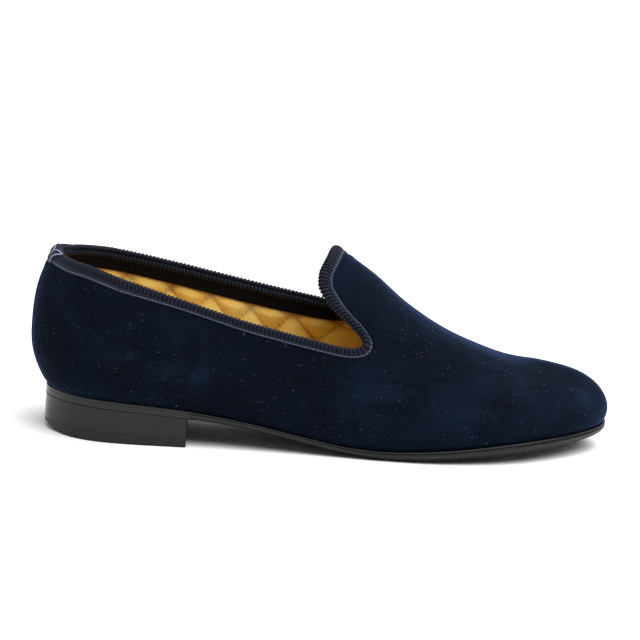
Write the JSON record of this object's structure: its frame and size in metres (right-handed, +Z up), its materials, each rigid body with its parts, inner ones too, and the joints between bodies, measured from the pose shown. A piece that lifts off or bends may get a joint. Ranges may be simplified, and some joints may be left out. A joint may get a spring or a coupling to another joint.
{
  "type": "velvet slipper loafer",
  "caption": "Right-foot velvet slipper loafer with a raised round tongue, ribbon-bound collar, thin leather sole and low stacked heel.",
  "frame": {"origin": "centre of the shoe's bounding box, on the floor it stands on", "axes": "+X towards the toe, +Y towards the medial side (the big-toe side), +Z up"},
  "size_m": [0.2975, 0.097, 0.0978],
  "materials": {
    "upper": "navy velvet pile outside, quilted gold satin inside",
    "collar_binding": "navy ribbed grosgrain ribbon with a stitched edge",
    "insole": "quilted gold satin sock",
    "outsole": "black waxed edge, worn-free leather underside",
    "heel": "stacked leather, black and polished",
    "top_piece": "matt black rubber"
  },
  "bodies": {
    "root": {"upper": "upper", "collar_binding": "collar_binding", "insole": "insole", "outsole": "outsole", "heel": "heel", "top_piece": "top_piece"}
  },
  "joints": []
}
